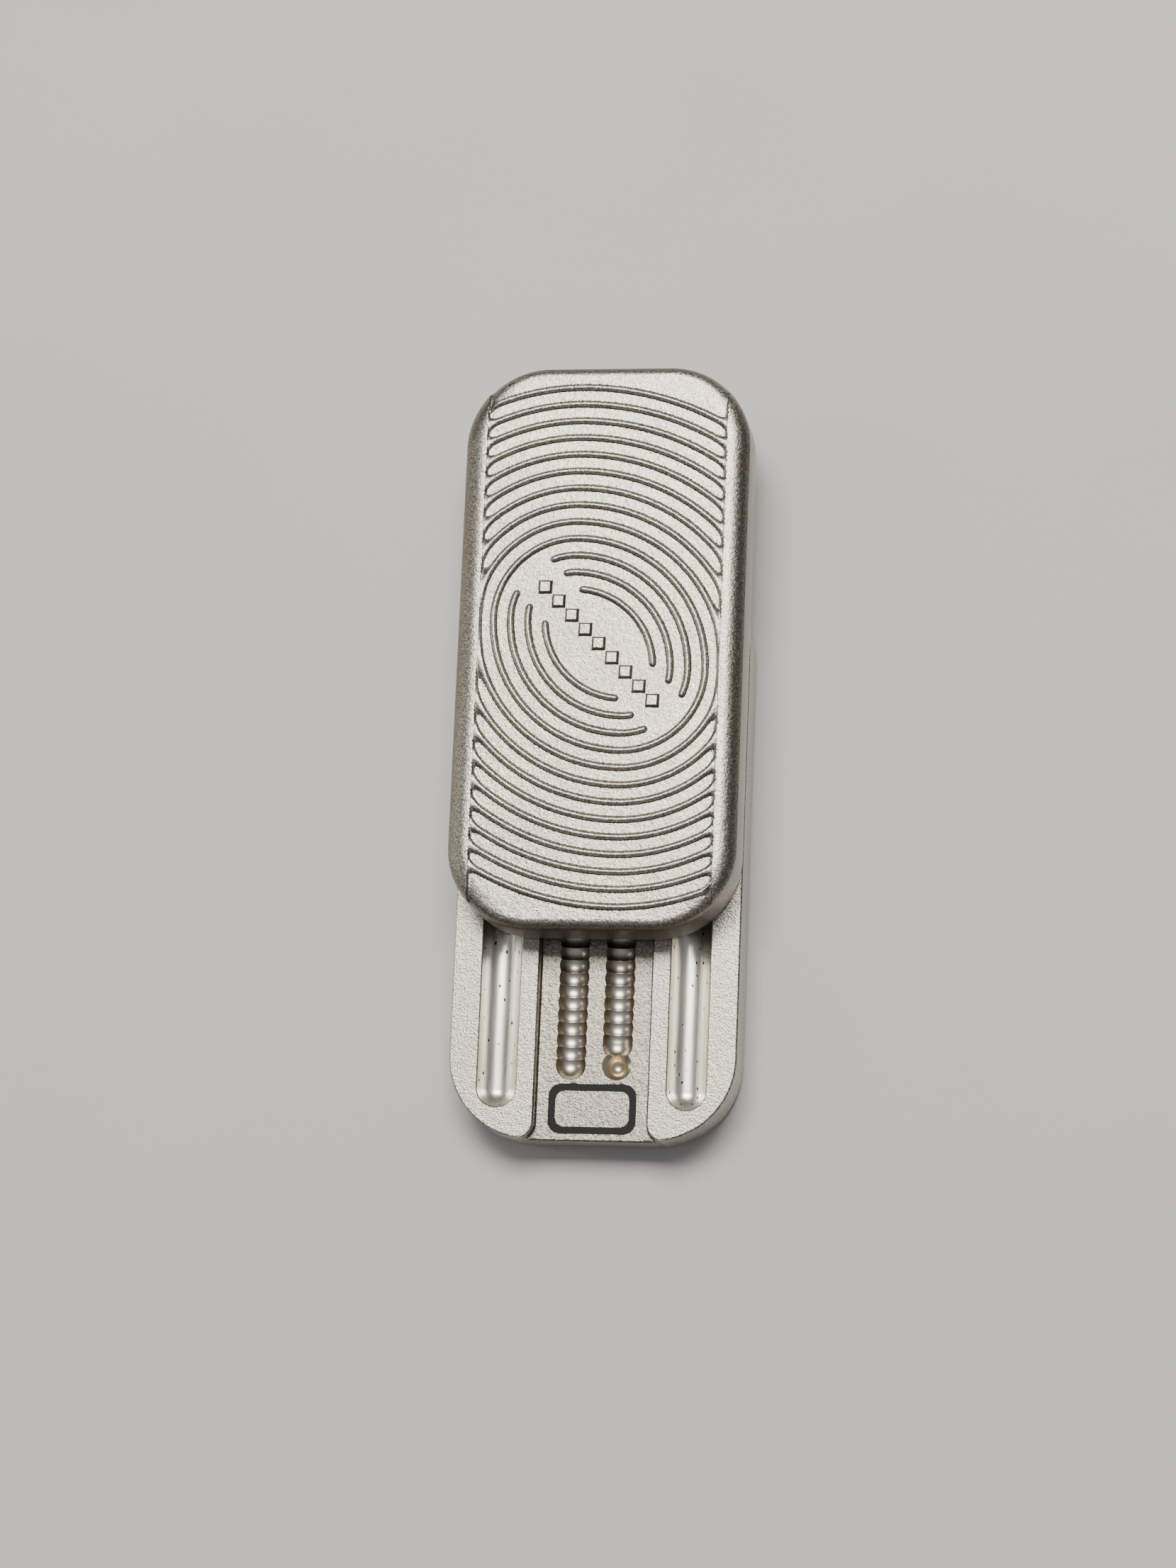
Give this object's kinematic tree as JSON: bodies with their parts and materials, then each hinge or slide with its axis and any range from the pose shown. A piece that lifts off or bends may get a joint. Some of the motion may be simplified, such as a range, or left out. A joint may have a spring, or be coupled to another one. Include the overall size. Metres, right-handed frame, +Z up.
{
  "type": "pocket haptic slider",
  "caption": "Two-plate pocket slider: ringed upper plate rolls on four guide balls over a lower plate with scalloped click rows and magnets.",
  "frame": {"origin": "centre of the lower plate's flat underside", "axes": "+Z up, +Y along the sliding direction towards the side where the upper plate stands out, +X across the plates"},
  "size_m": [0.03, 0.0808, 0.0131],
  "materials": {
    "plate_steel": "bead-blasted satin stainless steel, slightly warm",
    "screw_steel": "dark satin",
    "magnet_nickel": "bright nickel plate",
    "tongue_bronze": "machined, satin",
    "ball_steel": "polished bearing ball",
    "spring_steel": "drawn wire"
  },
  "bodies": {
    "lower": {"lower_plate": "plate_steel", "base_cover": "plate_steel", "base_screws": "screw_steel", "lower_magnet_1": "magnet_nickel", "lower_magnet_2": "magnet_nickel", "lower_magnet_3": "magnet_nickel", "lower_magnet_4": "magnet_nickel"},
    "upper": {"upper_plate": "plate_steel", "tongue_block": "tongue_bronze", "tongue_screws": "screw_steel", "upper_magnet_1": "magnet_nickel", "upper_magnet_2": "magnet_nickel", "upper_magnet_3": "magnet_nickel", "upper_magnet_4": "magnet_nickel", "detent_spring_left": "spring_steel", "detent_spring_right": "spring_steel"},
    "guide_ball_1": {"guide_ball_1": "ball_steel"},
    "guide_ball_2": {"guide_ball_2": "ball_steel"},
    "guide_ball_3": {"guide_ball_3": "ball_steel"},
    "guide_ball_4": {"guide_ball_4": "ball_steel"},
    "detent_ball_left": {"detent_ball_left": "ball_steel"},
    "detent_ball_right": {"detent_ball_right": "ball_steel"}
  },
  "joints": [
    {"name": "slide", "type": "slide", "parent": "lower", "child": "upper", "axis": [0, 1, 0], "range_m": [-0.0416, 0]},
    {"name": "guide_ball_1_roll", "type": "slide", "parent": "lower", "child": "guide_ball_1", "axis": [0, 1, 0], "range_m": [-0.0208, 0]},
    {"name": "guide_ball_2_roll", "type": "slide", "parent": "lower", "child": "guide_ball_2", "axis": [0, 1, 0], "range_m": [-0.0208, 0]},
    {"name": "guide_ball_3_roll", "type": "slide", "parent": "lower", "child": "guide_ball_3", "axis": [0, 1, 0], "range_m": [-0.0208, 0]},
    {"name": "guide_ball_4_roll", "type": "slide", "parent": "lower", "child": "guide_ball_4", "axis": [0, 1, 0], "range_m": [-0.0208, 0]},
    {"name": "detent_left_lift", "type": "slide", "parent": "upper", "child": "detent_ball_left", "axis": [0, 0, 1], "range_m": [-0.00015, 0.0004], "stiffness_N_per_m": 300, "deforming": ["detent_spring_left"]},
    {"name": "detent_right_lift", "type": "slide", "parent": "upper", "child": "detent_ball_right", "axis": [0, 0, 1], "range_m": [-0.00015, 0.0004], "stiffness_N_per_m": 300, "deforming": ["detent_spring_right"]}
  ],
  "couplings": [
    {"joint": "guide_ball_1_roll", "follows": "slide", "ratio": 0.5},
    {"joint": "guide_ball_2_roll", "follows": "slide", "ratio": 0.5},
    {"joint": "guide_ball_3_roll", "follows": "slide", "ratio": 0.5},
    {"joint": "guide_ball_4_roll", "follows": "slide", "ratio": 0.5}
  ]
}
